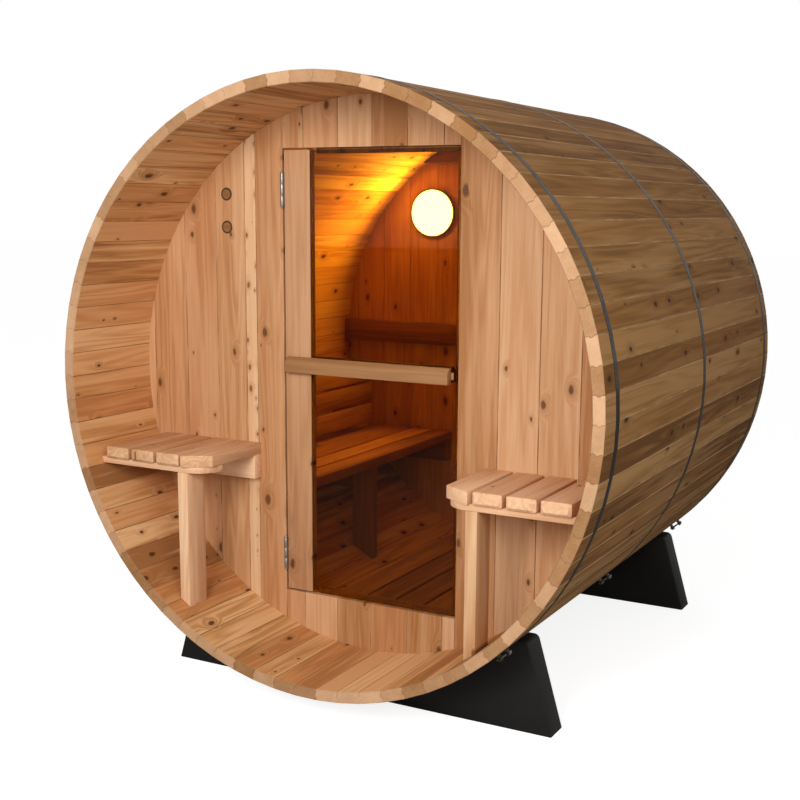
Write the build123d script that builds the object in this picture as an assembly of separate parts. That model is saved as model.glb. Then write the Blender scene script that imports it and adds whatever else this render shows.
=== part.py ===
from build123d import *
import os
from math import cos, pi, sin, sqrt, tan

os.makedirs("parts", exist_ok=True)

# A canopy barrel sauna: a coopered cedar barrel lying on two cradles, with a porch at its
# front end. X is to the right seen from the front, +Y runs from the front to the back, Z is up.
# The origin is on the ground under the middle of the barrel. All sizes are in millimetres.

# Barrel
BARREL_RADIUS = 915.0
BARREL_LENGTH = 1829.0
GROUND_CLEARANCE = 82.0
STAVE_COUNT = 74
STAVE_THICKNESS = 35.0
STAVE_JOINT_GAP = 0.3
BEAD_HEIGHT = 16.0
BEAD_CREST = 7.0
BEAD_DEPTH = 4.0
CROZE_DEPTH = 9.0

# Clearances between pieces that seat in or on each other
SEAT_CLEARANCE = 0.3

# Hoops and their tensioners
HOOP_WIDTH = 25.0
HOOP_THICKNESS = 1.2
FRONT_HOOP_INSET = 95.0
REAR_HOOP_INSET = 60.0
TENSIONER_ANGLE = -49.0
LUG_SPACING = 30.0
LUG_HEIGHT = 19.0
LUG_THICKNESS = 3.5
LUG_HOLE_CLEARANCE = 0.5
BOLT_RADIUS = 3.0
BOLT_SIDES = 12
BOLT_HEIGHT = 11.0
BOLT_OVERHANG = 9.0
NUT_ACROSS_FLATS = 10.0
NUT_HEIGHT = 5.0

# Cradles
CRADLE_THICKNESS = 89.0
CRADLE_HEIGHT = 283.0
CRADLE_FOOT_WIDTH = 1380.0
CRADLE_HORN_TOP = 34.0
CRADLE_HORN_FILLET = 20.0
FRONT_CRADLE_INSET = 265.0
REAR_CRADLE_INSET = 120.0

# End walls
WALL_THICKNESS = 38.0
PORCH_DEPTH = 372.0
REAR_OVERHANG = 81.0

# Doorway and door
DOORWAY_WIDTH = 630.0
DOORWAY_HEIGHT = 1448.0
DOOR_GAP = 6.0
STILE_WIDTH = 96.0
STILE_THICKNESS = 33.0
GLASS_THICKNESS = 8.0
GLASS_RECESS = 6.0
GLASS_GROOVE = 12.0
STOP_WIDTH = 18.0
STOP_GLASS_GAP = 5.5
STOP_STILE_GAP = 15.0
STOP_JOINT_GAP = 1.0

# Door handles
HANDLE_HEIGHT = 50.0
HANDLE_DEPTH = 26.0
HANDLE_BEVEL = 14.0
HANDLE_CENTRE_HEIGHT = 40.0
HANDLE_LEFT_INSET = 13.0
HANDLE_RIGHT_INSET = 18.0
HANDLE_TONGUE_HEIGHT = 22.0
HANDLE_TONGUE_INSET = 10.0
INNER_HANDLE_INSET = 30.0

# Hinges
HINGE_LENGTH = 106.0
HINGE_END_INSET = 70.0
HINGE_KNUCKLE_RADIUS = 6.0
HINGE_PIN_RADIUS = 3.0
HINGE_PIN_CLEARANCE = 0.05
HINGE_LEAF_THICKNESS = 2.0
HINGE_LEAF_DEPTH = 28.0
HINGE_KNUCKLE_COUNT = 3
HINGE_KNUCKLE_SIDES = 16
HINGE_KNUCKLE_GAP = 0.5

# Porch seats
SEAT_TOP_BELOW_AXIS = 231.0
SEAT_SLAT_THICKNESS = 38.0
SEAT_SLAT_WIDTH = 89.0
SEAT_SLAT_GAP = 13.0
SEAT_SLAT_COUNT = 4
SEAT_INNER_EDGE = 412.0
SEAT_FRONT_INSET = 58.0
SEAT_CORNER_CUT_LENGTH = 50.0
SEAT_CORNER_CUT_WIDTH = 87.0
SEAT_BATTEN_THICKNESS = 20.0
SEAT_BATTEN_WIDTH = 89.0
SEAT_BATTEN_INSET = 16.0
SEAT_BATTEN_CORNER = 80.0
SEAT_POST_THICKNESS = 38.0
SEAT_POST_DEPTH = 89.0
SEAT_POST_OFFSET = 76.0
SEAT_LEDGER_HEIGHT = 80.0
SEAT_LEDGER_THICKNESS = 38.0

# Benches inside
BENCH_TOP_BELOW_AXIS = 395.0
BENCH_BOARD_THICKNESS = 38.0
BENCH_BOARD_WIDTHS = [89.0, 89.0, 184.0]
BENCH_BOARD_GAP = 9.0
BENCH_FRONT_EDGE = 360.0
BENCH_END_GAP = 6.0
BENCH_BEARER_HEIGHT = 89.0
BENCH_BEARER_THICKNESS = 38.0
BENCH_LEG_WIDTH = 89.0
BENCH_BEARER_INSET = 10.0

# Backrests inside
BACKREST_FACE = 705.0
BACKREST_TOP_BELOW_AXIS = 108.0
BACKREST_SLAT_COUNT = 3
BACKREST_SLAT_HEIGHT = 80.0
BACKREST_SLAT_THICKNESS = 20.0
BACKREST_SLAT_GAP = 10.0
BACKREST_END_GAP = 95.0
BACKREST_UPRIGHT_WIDTH = 38.0
BACKREST_UPRIGHT_INSET = 120.0

# Rear wall rails and lamp
RAIL_HEIGHT = 89.0
RAIL_THICKNESS = 38.0
MIDDLE_RAIL_BASE = -27.0
UPPER_RAIL_BASE = 724.0
LAMP_X = -464.0
LAMP_ABOVE_AXIS = 521.0
LAMP_RADIUS = 93.0
LAMP_RIM_RADIUS = 100.0
LAMP_RIM_DEPTH = 12.0
LAMP_COVER_DEPTH = 14.0
LAMP_SHELL = 4.0
LAMP_EDGE_BEVEL = 6.0

# Floor inside
FLOOR_TOP_BELOW_AXIS = 800.0
FLOOR_BOARD_COUNT = 5
FLOOR_BOARD_WIDTH = 102.0
FLOOR_BOARD_THICKNESS = 20.0
FLOOR_BOARD_GAP = 10.0
FLOOR_END_GAP = 15.0
FLOOR_BEARER_COUNT = 3
FLOOR_BEARER_THICKNESS = 38.0
FLOOR_BEARER_WIDTH = 500.0

# Positions that follow from the sizes above
AXIS_HEIGHT = GROUND_CLEARANCE + BARREL_RADIUS
FRONT = -BARREL_LENGTH / 2
BACK = BARREL_LENGTH / 2
HALF_PITCH = pi / STAVE_COUNT
OUTER_APOTHEM = BARREL_RADIUS * cos(HALF_PITCH)
INNER_APOTHEM = OUTER_APOTHEM - STAVE_THICKNESS
INNER_FIT = INNER_APOTHEM - SEAT_CLEARANCE
WALL_RADIUS = INNER_APOTHEM + CROZE_DEPTH - SEAT_CLEARANCE
HOOP_OUTER = OUTER_APOTHEM + HOOP_THICKNESS
FRONT_WALL_OUTER = FRONT + PORCH_DEPTH
FRONT_WALL_INNER = FRONT_WALL_OUTER + WALL_THICKNESS
REAR_WALL_OUTER = BACK - REAR_OVERHANG
REAR_WALL_INNER = REAR_WALL_OUTER - WALL_THICKNESS
CABIN_LENGTH = REAR_WALL_INNER - FRONT_WALL_INNER
DOOR_LEFT = -DOORWAY_WIDTH / 2 + DOOR_GAP
DOOR_RIGHT = DOORWAY_WIDTH / 2 - DOOR_GAP
DOOR_HALF_HEIGHT = DOORWAY_HEIGHT / 2 - DOOR_GAP
STILE_RIGHT = DOOR_LEFT + STILE_WIDTH
STILE_BACK = FRONT_WALL_OUTER + STILE_THICKNESS
GLASS_FRONT = FRONT_WALL_OUTER + GLASS_RECESS
GLASS_BACK = GLASS_FRONT + GLASS_THICKNESS
HINGE_CENTRE_HEIGHT = DOOR_HALF_HEIGHT - HINGE_END_INSET - HINGE_LENGTH / 2
HINGE_X = -DOORWAY_WIDTH / 2 + DOOR_GAP / 2
HINGE_Y = FRONT_WALL_OUTER - HINGE_KNUCKLE_RADIUS - HINGE_KNUCKLE_GAP


def save(shape, name):
    """Write one sub-part."""
    export_step(shape, f"parts/{name}.step")


def save_all(solids, name):
    """Write several like pieces that don't touch as one sub-part."""
    save(Compound(children=list(solids)), name)


def block(x0, x1, y0, y1, z0, z1):
    """A box between two corners, with z counted from the barrel's axis."""
    place = Pos((x0 + x1) / 2, (y0 + y1) / 2, AXIS_HEIGHT + (z0 + z1) / 2)
    return place * Box(abs(x1 - x0), abs(y1 - y0), abs(z1 - z0))


def disc(radius, y0, y1):
    """A round plate about the barrel's axis, from y0 to y1."""
    plate = Cylinder(radius, y1 - y0)
    return Pos(0, (y0 + y1) / 2, AXIS_HEIGHT) * Rot(90, 0, 0) * plate


def plate_xz(sketch, y0, y1):
    """A plate of the given outline in X and Z, drawn about the barrel's axis."""
    frame = Plane(origin=(0, y1, AXIS_HEIGHT), x_dir=(1, 0, 0), z_dir=(0, -1, 0))
    return extrude(frame * sketch, amount=y1 - y0)


def mirrored(solids):
    """The same pieces on the other side of the barrel."""
    return [mirror(solid, about=Plane.YZ) for solid in solids]


# Staves, with a bead along one edge and a cove that takes it along the other
def stave_section():
    """The stave's outline: wedge-sided, with a three-sided bead at the right and its cove at the left."""
    joint_shift = STAVE_JOINT_GAP / 2 / cos(HALF_PITCH)
    middle = (OUTER_APOTHEM + INNER_APOTHEM) / 2
    half_joint = middle * tan(HALF_PITCH)

    def edge(side, along, out):
        """A point beside one edge, counted along the edge from its middle and out from it."""
        x = half_joint - joint_shift + along * sin(HALF_PITCH) + out * cos(HALF_PITCH)
        z = middle + along * cos(HALF_PITCH) - out * sin(HALF_PITCH)
        return (side * x, z)

    half_edge = STAVE_THICKNESS / 2 / cos(HALF_PITCH)
    foot = BEAD_HEIGHT / 2
    crest = BEAD_CREST / 2
    right = [edge(1, half_edge, 0), edge(1, foot, 0), edge(1, crest, BEAD_DEPTH),
             edge(1, -crest, BEAD_DEPTH), edge(1, -foot, 0), edge(1, -half_edge, 0)]
    left = [edge(-1, -half_edge, 0), edge(-1, -foot, 0), edge(-1, -crest, -BEAD_DEPTH),
            edge(-1, crest, -BEAD_DEPTH), edge(-1, foot, 0), edge(-1, half_edge, 0)]
    return make_face(Polyline(*right, *left, close=True))


def stave():
    board = plate_xz(stave_section(), FRONT, BACK)
    half_width = OUTER_APOTHEM * tan(HALF_PITCH)
    for start, end in ((FRONT_WALL_OUTER, FRONT_WALL_INNER), (REAR_WALL_INNER, REAR_WALL_OUTER)):
        croze = block(-half_width, half_width, start - SEAT_CLEARANCE, end + SEAT_CLEARANCE,
                      INNER_APOTHEM - STAVE_THICKNESS, INNER_APOTHEM + CROZE_DEPTH)
        board -= croze
    return board


def turned(solid, angle):
    """The piece turned about the barrel's axis, clockwise seen from the front."""
    axis = Axis((0, 0, AXIS_HEIGHT), (0, 1, 0))
    return solid.rotate(axis, angle)


STAVE_GROUPS = ["top", "upper_right", "lower_right", "bottom", "lower_left", "upper_left"]


def staves():
    board = stave()
    groups = {name: [] for name in STAVE_GROUPS}
    for index in range(STAVE_COUNT):
        turn = index / STAVE_COUNT
        group = STAVE_GROUPS[round(turn * len(STAVE_GROUPS)) % len(STAVE_GROUPS)]
        groups[group].append(turned(board, 360 * turn))
    for group, boards in groups.items():
        save_all(boards, f"staves_{group}")


# Hoops, each a steel band that lies on the staves' flats, split at its tensioner, with a lug at each end
def bolt_bar(radius, length):
    """A bar along X with as many sides as the hoops' bolts."""
    bar = extrude(RegularPolygon(radius, BOLT_SIDES, major_radius=False), length / 2, both=True)
    return Rot(0, 90, 0) * bar


def barrel_prism(apothem, y0, y1):
    """A prism about the barrel's axis with a flat over each stave."""
    outline = RegularPolygon(apothem, STAVE_COUNT, major_radius=False, rotation=90 - 180 / STAVE_COUNT)
    return plate_xz(outline, y0, y1)


def hoop(y):
    y0 = y - HOOP_WIDTH / 2
    y1 = y + HOOP_WIDTH / 2
    top = HOOP_OUTER + LUG_HEIGHT
    barrel = barrel_prism(OUTER_APOTHEM, y0, y1)
    band = barrel_prism(HOOP_OUTER, y0, y1)
    band -= turned(block(-LUG_SPACING / 2, LUG_SPACING / 2, y0, y1, INNER_APOTHEM, top), 90 - TENSIONER_ANGLE)
    bore = bolt_bar(BOLT_RADIUS + LUG_HOLE_CLEARANCE, 2 * LUG_SPACING)
    hole = Pos(0, y, AXIS_HEIGHT + HOOP_OUTER + BOLT_HEIGHT) * bore
    for side in (-1, 1):
        near = side * LUG_SPACING / 2
        far = side * (LUG_SPACING / 2 + LUG_THICKNESS)
        lug = block(min(near, far), max(near, far), y0, y1, INNER_APOTHEM, top)
        band += turned(lug - hole, 90 - TENSIONER_ANGLE)
    return band - barrel


def tensioner(y):
    height = HOOP_OUTER + BOLT_HEIGHT
    reach = LUG_SPACING / 2 + LUG_THICKNESS
    shank = bolt_bar(BOLT_RADIUS, 2 * (reach + BOLT_OVERHANG))
    nut = extrude(RegularPolygon(NUT_ACROSS_FLATS / 2, 6, major_radius=False), NUT_HEIGHT / 2, both=True)
    for side in (-1, 1):
        shank += Pos(side * (reach + NUT_HEIGHT / 2), 0, 0) * Rot(0, 90, 0) * nut
    return turned(Pos(0, y, AXIS_HEIGHT + height) * shank, 90 - TENSIONER_ANGLE)


def hoops():
    front = FRONT + FRONT_HOOP_INSET
    rear = BACK - REAR_HOOP_INSET
    places = {"front": front, "middle": (front + rear) / 2, "rear": rear}
    for name, y in places.items():
        save(hoop(y), f"hoop_{name}")
    save_all([tensioner(y) for y in places.values()], "hoop_tensioners")


# Cradles, each a thick plate whose top follows the barrel
def cradle(y0):
    base = -AXIS_HEIGHT
    horn = base + CRADLE_HEIGHT
    seat = BARREL_RADIUS + SEAT_CLEARANCE
    inner = sqrt(seat ** 2 - horn ** 2)
    outer = inner + CRADLE_HORN_TOP
    foot = CRADLE_FOOT_WIDTH / 2
    outline = make_face(Polyline((-foot, base), (foot, base), (outer, horn), (-outer, horn), close=True))
    horns = outline.vertices().group_by(Axis.Y)[-1]
    outline = fillet(horns, CRADLE_HORN_FILLET) - Circle(seat)
    return plate_xz(outline, y0, y0 + CRADLE_THICKNESS)


def cradles():
    save(cradle(FRONT + FRONT_CRADLE_INSET), "cradle_front")
    save(cradle(BACK - REAR_CRADLE_INSET - CRADLE_THICKNESS), "cradle_rear")


# End walls, seated in the crozes
def walls():
    plate = disc(WALL_RADIUS, FRONT_WALL_OUTER, FRONT_WALL_INNER)
    half_width = DOORWAY_WIDTH / 2
    half_height = DOORWAY_HEIGHT / 2
    far = 2 * WALL_RADIUS
    parts = {
        "front_wall_left": block(-far, -half_width, FRONT, BACK, -far, far),
        "front_wall_right": block(half_width, far, FRONT, BACK, -far, far),
        "front_wall_header": block(-half_width, half_width, FRONT, BACK, half_height, far),
        "front_wall_sill": block(-half_width, half_width, FRONT, BACK, -far, -half_height),
    }
    for name, region in parts.items():
        save(plate & region, name)
    save(disc(WALL_RADIUS, REAR_WALL_INNER, REAR_WALL_OUTER), "rear_wall")


def fitted(solid):
    """The piece with its ends cut to the inside of the barrel."""
    return solid & disc(INNER_FIT, FRONT, BACK)


def rails():
    y0 = REAR_WALL_INNER - RAIL_THICKNESS
    wide = BARREL_RADIUS
    for name, base in (("middle", MIDDLE_RAIL_BASE), ("upper", UPPER_RAIL_BASE)):
        rail = block(-wide, wide, y0, REAR_WALL_INNER, base, base + RAIL_HEIGHT)
        save(fitted(rail), f"rear_wall_rail_{name}")


# Door, hung at the left: a wooden stile, a tinted glass leaf seated in its groove, and two wooden bars
def door():
    stile = block(DOOR_LEFT, STILE_RIGHT, FRONT_WALL_OUTER, STILE_BACK, -DOOR_HALF_HEIGHT, DOOR_HALF_HEIGHT)
    groove = block(STILE_RIGHT - GLASS_GROOVE - SEAT_CLEARANCE, STILE_RIGHT,
                   GLASS_FRONT, GLASS_BACK + SEAT_CLEARANCE, -DOOR_HALF_HEIGHT, DOOR_HALF_HEIGHT)
    save(stile - groove, "door_stile")
    glass = block(STILE_RIGHT - GLASS_GROOVE, DOOR_RIGHT, GLASS_FRONT, GLASS_BACK,
                  -DOOR_HALF_HEIGHT, DOOR_HALF_HEIGHT)
    save(glass, "door_glass")


def handle_bar(x0, x1, face, outward, reach, tongue_x0, tongue_x1):
    """A bevelled bar that stands off the glass on a tongue; outward is -1 for the outside."""
    low = HANDLE_CENTRE_HEIGHT - HANDLE_HEIGHT / 2
    high = HANDLE_CENTRE_HEIGHT + HANDLE_HEIGHT / 2
    back = face + outward * reach
    front = back + outward * HANDLE_DEPTH
    bevel = front - outward * HANDLE_BEVEL
    section = [(back, low), (front, low), (front, high - HANDLE_BEVEL), (bevel, high), (back, high)]
    frame = Plane(origin=(x0, 0, AXIS_HEIGHT), x_dir=(0, 1, 0), z_dir=(1, 0, 0))
    bar = extrude(frame * make_face(Polyline(*section, close=True)), amount=x1 - x0)
    tongue_low = HANDLE_CENTRE_HEIGHT - HANDLE_TONGUE_HEIGHT / 2
    tongue = block(tongue_x0, tongue_x1, min(face, back), max(face, back),
                   tongue_low, tongue_low + HANDLE_TONGUE_HEIGHT)
    return bar + tongue


def handles():
    outer = handle_bar(DOOR_LEFT + HANDLE_LEFT_INSET, DOOR_RIGHT - HANDLE_RIGHT_INSET, GLASS_FRONT, -1,
                       GLASS_RECESS, STILE_RIGHT + SEAT_CLEARANCE, DOOR_RIGHT - HANDLE_TONGUE_INSET)
    inner_end = DOOR_RIGHT - INNER_HANDLE_INSET
    inner = handle_bar(STILE_RIGHT, inner_end, GLASS_BACK, 1, STILE_BACK - GLASS_BACK, STILE_RIGHT, inner_end)
    save(outer, "door_handle_outer")
    save(inner, "door_handle_inner")


# Door stops in the doorway behind the leaf, at the latch side, the top and the bottom
def door_stops():
    y0 = GLASS_BACK + STOP_GLASS_GAP
    jamb = DOORWAY_WIDTH / 2
    head = DOORWAY_HEIGHT / 2
    side = block(jamb - STOP_WIDTH, jamb, y0, FRONT_WALL_INNER, -head, head)
    x0 = STILE_RIGHT + STOP_STILE_GAP
    x1 = jamb - STOP_WIDTH - STOP_JOINT_GAP
    ends = [block(x0, x1, y0, FRONT_WALL_INNER, z0, z0 + STOP_WIDTH) for z0 in (head - STOP_WIDTH, -head)]
    save_all([side, *ends], "door_stops")


# Hinges: a leaf on the wall that holds the pin, and a leaf on the stile
def knuckle_bar(radius, length, to_corners=True):
    """An upright bar about the hinge pin, its radius measured to its corners or to its flats."""
    outline = RegularPolygon(radius, HINGE_KNUCKLE_SIDES, major_radius=to_corners)
    return extrude(outline, length / 2, both=True)


def hinge_leaf(centre, own_knuckles, leaf_x0, with_pin):
    pitch = HINGE_LENGTH / HINGE_KNUCKLE_COUNT
    base = centre - HINGE_LENGTH / 2
    leaf_start = HINGE_Y + HINGE_KNUCKLE_RADIUS + HINGE_KNUCKLE_GAP
    leaf_end = FRONT_WALL_OUTER + HINGE_LEAF_DEPTH
    leaf = block(leaf_x0, leaf_x0 + HINGE_LEAF_THICKNESS, leaf_start, leaf_end, base, base + HINGE_LENGTH)
    for index in own_knuckles:
        low = base + index * pitch + HINGE_KNUCKLE_GAP / 2
        high = base + (index + 1) * pitch - HINGE_KNUCKLE_GAP / 2
        place = Pos(HINGE_X, HINGE_Y, AXIS_HEIGHT + (low + high) / 2)
        leaf += block(leaf_x0, leaf_x0 + HINGE_LEAF_THICKNESS, HINGE_Y, leaf_start, low, high)
        leaf += place * knuckle_bar(HINGE_KNUCKLE_RADIUS, high - low)
    middle = Pos(HINGE_X, HINGE_Y, AXIS_HEIGHT + centre)
    if with_pin:
        return leaf + middle * knuckle_bar(HINGE_PIN_RADIUS, HINGE_LENGTH - HINGE_KNUCKLE_GAP)
    return leaf - middle * knuckle_bar(HINGE_PIN_RADIUS + HINGE_PIN_CLEARANCE, HINGE_LENGTH, to_corners=False)


def hinges():
    wall_side = -DOORWAY_WIDTH / 2
    door_side = DOOR_LEFT - HINGE_LEAF_THICKNESS
    heights = (HINGE_CENTRE_HEIGHT, -HINGE_CENTRE_HEIGHT)
    wall_knuckles = range(0, HINGE_KNUCKLE_COUNT, 2)
    door_knuckles = range(1, HINGE_KNUCKLE_COUNT, 2)
    save_all([hinge_leaf(z, wall_knuckles, wall_side, True) for z in heights], "hinge_leaves_wall")
    save_all([hinge_leaf(z, door_knuckles, door_side, False) for z in heights], "hinge_leaves_door")


# Porch seats: slats on a front batten and a wall ledger, the batten on a post
def seat_slats():
    top = -SEAT_TOP_BELOW_AXIS
    front = FRONT + SEAT_FRONT_INSET
    slats = []
    for index in range(SEAT_SLAT_COUNT):
        x0 = SEAT_INNER_EDGE + index * (SEAT_SLAT_WIDTH + SEAT_SLAT_GAP)
        slat = block(x0, x0 + SEAT_SLAT_WIDTH, front, FRONT_WALL_OUTER, top - SEAT_SLAT_THICKNESS, top)
        if index == 0:
            corner = slat.edges().filter_by(Axis.Z).group_by(Axis.Y)[0].sort_by(Axis.X)[0]
            face = slat.faces().filter_by(Axis.Y).sort_by(Axis.Y)[0]
            slat = chamfer(corner, SEAT_CORNER_CUT_WIDTH, SEAT_CORNER_CUT_LENGTH, reference=face)
        slats.append(slat)
    return slats


def seat_batten():
    top = -SEAT_TOP_BELOW_AXIS - SEAT_SLAT_THICKNESS
    front = FRONT + SEAT_FRONT_INSET + SEAT_BATTEN_INSET
    batten = block(SEAT_INNER_EDGE, BARREL_RADIUS, front, front + SEAT_BATTEN_WIDTH,
                   top - SEAT_BATTEN_THICKNESS, top)
    corner = batten.edges().filter_by(Axis.Z).group_by(Axis.Y)[0].sort_by(Axis.X)[0]
    return fitted(fillet(corner, SEAT_BATTEN_CORNER))


def seat_ledger():
    top = -SEAT_TOP_BELOW_AXIS - SEAT_SLAT_THICKNESS
    front = FRONT_WALL_OUTER - SEAT_LEDGER_THICKNESS
    ledger = block(SEAT_INNER_EDGE, BARREL_RADIUS, front, FRONT_WALL_OUTER, top - SEAT_LEDGER_HEIGHT, top)
    return fitted(ledger)


def seat_post():
    top = -SEAT_TOP_BELOW_AXIS - SEAT_SLAT_THICKNESS - SEAT_BATTEN_THICKNESS
    front = FRONT + SEAT_FRONT_INSET + SEAT_BATTEN_INSET
    x0 = SEAT_INNER_EDGE + SEAT_POST_OFFSET
    post = block(x0, x0 + SEAT_POST_THICKNESS, front, front + SEAT_POST_DEPTH, -BARREL_RADIUS, top)
    return fitted(post)


def porch_seats():
    pieces = {"slats": seat_slats(), "bearers": [seat_batten(), seat_ledger()], "post": [seat_post()]}
    for name, solids in pieces.items():
        save_all(solids, f"porch_seat_right_{name}")
        save_all(mirrored(solids), f"porch_seat_left_{name}")


# Benches inside: long boards on a bearer at each wall and one on a leg in the middle
def bench_boards():
    top = -BENCH_TOP_BELOW_AXIS
    y0 = FRONT_WALL_INNER + BENCH_END_GAP
    y1 = REAR_WALL_INNER - BENCH_END_GAP
    x0 = BENCH_FRONT_EDGE
    boards = []
    for width in BENCH_BOARD_WIDTHS:
        boards.append(block(x0, x0 + width, y0, y1, top - BENCH_BOARD_THICKNESS, top))
        x0 += width + BENCH_BOARD_GAP
    return boards


def bench_bearers():
    top = -BENCH_TOP_BELOW_AXIS - BENCH_BOARD_THICKNESS
    half = BENCH_BEARER_THICKNESS / 2
    middle = (FRONT_WALL_INNER + REAR_WALL_INNER) / 2
    front = BENCH_FRONT_EDGE + BENCH_BEARER_INSET
    bearers = []
    for y in (FRONT_WALL_INNER + half, middle, REAR_WALL_INNER - half):
        bearer = block(front, BARREL_RADIUS, y - half, y + half, top - BENCH_BEARER_HEIGHT, top)
        if y == middle:
            bearer += block(front, front + BENCH_LEG_WIDTH, y - half, y + half, -BARREL_RADIUS, top)
        bearers.append(fitted(bearer))
    return bearers


def backrest_slats():
    y0 = FRONT_WALL_INNER + BACKREST_END_GAP
    y1 = REAR_WALL_INNER - BACKREST_END_GAP
    slats = []
    for index in range(BACKREST_SLAT_COUNT):
        top = -BACKREST_TOP_BELOW_AXIS - index * (BACKREST_SLAT_HEIGHT + BACKREST_SLAT_GAP)
        slats.append(block(BACKREST_FACE, BACKREST_FACE + BACKREST_SLAT_THICKNESS, y0, y1,
                           top - BACKREST_SLAT_HEIGHT, top))
    return slats


def backrest_uprights():
    top = -BACKREST_TOP_BELOW_AXIS
    height = BACKREST_SLAT_COUNT * (BACKREST_SLAT_HEIGHT + BACKREST_SLAT_GAP) - BACKREST_SLAT_GAP
    half = BACKREST_UPRIGHT_WIDTH / 2
    inset = BACKREST_END_GAP + BACKREST_UPRIGHT_INSET
    face = BACKREST_FACE + BACKREST_SLAT_THICKNESS
    return [fitted(block(face, BARREL_RADIUS, y - half, y + half, top - height, top))
            for y in (FRONT_WALL_INNER + inset, REAR_WALL_INNER - inset)]


def benches():
    pieces = {
        "boards": bench_boards(),
        "bearers": bench_bearers(),
        "backrest_slats": backrest_slats(),
        "backrest_uprights": backrest_uprights(),
    }
    for name, solids in pieces.items():
        save_all(solids, f"bench_right_{name}")
        save_all(mirrored(solids), f"bench_left_{name}")


# Lamp on the rear wall: a round rim and a hollow drum cover with a bevelled edge
def lamp():
    centre_height = AXIS_HEIGHT + LAMP_ABOVE_AXIS
    frame = Plane(origin=(LAMP_X, REAR_WALL_INNER, centre_height), x_dir=(1, 0, 0), z_dir=(0, -1, 0))
    rim = extrude(frame * Circle(LAMP_RIM_RADIUS), amount=LAMP_RIM_DEPTH)
    save(rim, "lamp_rim")
    seat = frame.offset(LAMP_RIM_DEPTH)
    drum = extrude(seat * Circle(LAMP_RADIUS), amount=LAMP_COVER_DEPTH)
    drum = chamfer(drum.edges().sort_by(Axis.Y)[0], LAMP_EDGE_BEVEL)
    drum -= extrude(seat * Circle(LAMP_RADIUS - LAMP_EDGE_BEVEL), amount=LAMP_COVER_DEPTH - LAMP_SHELL)
    save(drum, "lamp_cover")


# Floor inside: long boards on bearers that follow the barrel
def floor():
    top = -FLOOR_TOP_BELOW_AXIS
    pitch = FLOOR_BOARD_WIDTH + FLOOR_BOARD_GAP
    y0 = FRONT_WALL_INNER + FLOOR_END_GAP
    y1 = REAR_WALL_INNER - FLOOR_END_GAP
    boards = []
    for index in range(FLOOR_BOARD_COUNT):
        x = (index - (FLOOR_BOARD_COUNT - 1) / 2) * pitch
        boards.append(block(x - FLOOR_BOARD_WIDTH / 2, x + FLOOR_BOARD_WIDTH / 2, y0, y1,
                            top - FLOOR_BOARD_THICKNESS, top))
    save_all(boards, "floor_boards")
    half = FLOOR_BEARER_THICKNESS / 2
    spacing = CABIN_LENGTH / FLOOR_BEARER_COUNT
    bearers = []
    for index in range(FLOOR_BEARER_COUNT):
        y = FRONT_WALL_INNER + (index + 0.5) * spacing
        bearer = block(-FLOOR_BEARER_WIDTH / 2, FLOOR_BEARER_WIDTH / 2, y - half, y + half,
                       -BARREL_RADIUS, top - FLOOR_BOARD_THICKNESS)
        bearers.append(fitted(bearer))
    save_all(bearers, "floor_bearers")


staves()
hoops()
cradles()
walls()
rails()
door()
handles()
door_stops()
hinges()
porch_seats()
benches()
lamp()
floor()
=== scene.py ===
import logging
import math
import random
from contextlib import contextmanager
from dataclasses import dataclass
from enum import Enum, IntEnum
from typing import Callable, Iterable, Iterator, Optional, Sequence, Union

import bpy
from mathutils import Matrix, Vector


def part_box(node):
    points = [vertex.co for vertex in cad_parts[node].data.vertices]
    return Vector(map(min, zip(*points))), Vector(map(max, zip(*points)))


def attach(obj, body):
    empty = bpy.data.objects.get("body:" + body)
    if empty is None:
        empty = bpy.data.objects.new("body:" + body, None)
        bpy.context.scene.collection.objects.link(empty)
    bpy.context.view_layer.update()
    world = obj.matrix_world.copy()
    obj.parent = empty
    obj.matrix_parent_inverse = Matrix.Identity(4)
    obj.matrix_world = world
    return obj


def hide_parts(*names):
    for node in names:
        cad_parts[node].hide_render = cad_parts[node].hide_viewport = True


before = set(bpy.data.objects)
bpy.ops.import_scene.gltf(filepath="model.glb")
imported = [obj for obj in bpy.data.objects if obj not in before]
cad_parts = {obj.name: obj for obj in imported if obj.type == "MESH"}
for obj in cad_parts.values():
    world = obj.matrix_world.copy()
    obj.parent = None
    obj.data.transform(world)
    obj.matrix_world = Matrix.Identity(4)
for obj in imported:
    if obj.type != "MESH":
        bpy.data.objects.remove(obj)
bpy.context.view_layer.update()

log = logging.getLogger("barrel_sauna")

# Lengths are in metres. Planks count their heights from the barrel's axis.
AXIS_HEIGHT = 0.997
STAVE_COUNT = 74
BARREL_RADIUS = 0.915
INNER_RADIUS = 0.8789
PORCH_WALL_Y = -0.5425
CABIN_FRONT_Y = -0.5045
CABIN_BACK_Y = 0.7955
MERGE = 2e-6
TOUCH = 1e-5
NEAR = 1e-4
UPRIGHT = 0.01
FACING = 0.9
NOISE_SPAN = (0.3, 0.7)
SRGB_KNEE, SRGB_SLOPE, SRGB_OFFSET, SRGB_GAMMA = 0.04045, 12.92, 0.055, 2.4
WHITE = (1.0, 1.0, 1.0, 1.0)

Piece = bpy.types.Object
Finish = bpy.types.Material
Socket = bpy.types.NodeSocket
Value = Union[Socket, float]
Colour = tuple[float, float, float, float]
Triple = tuple[float, float, float]
Pair = tuple[float, float]


class Grain(Enum):
    """The direction in which a board's grain runs."""

    ALONG_X = 0
    ALONG_Y = 1
    ALONG_Z = 2


class Side(Enum):
    """A side of the barrel, seen from the front."""

    LEFT = -1
    RIGHT = 1

    def span(self, near: float, far: float) -> Pair:
        """Two distances from the barrel's middle as a low and a high X."""
        ends = sorted((self.value * near, self.value * far))
        return ends[0], ends[1]


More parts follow.
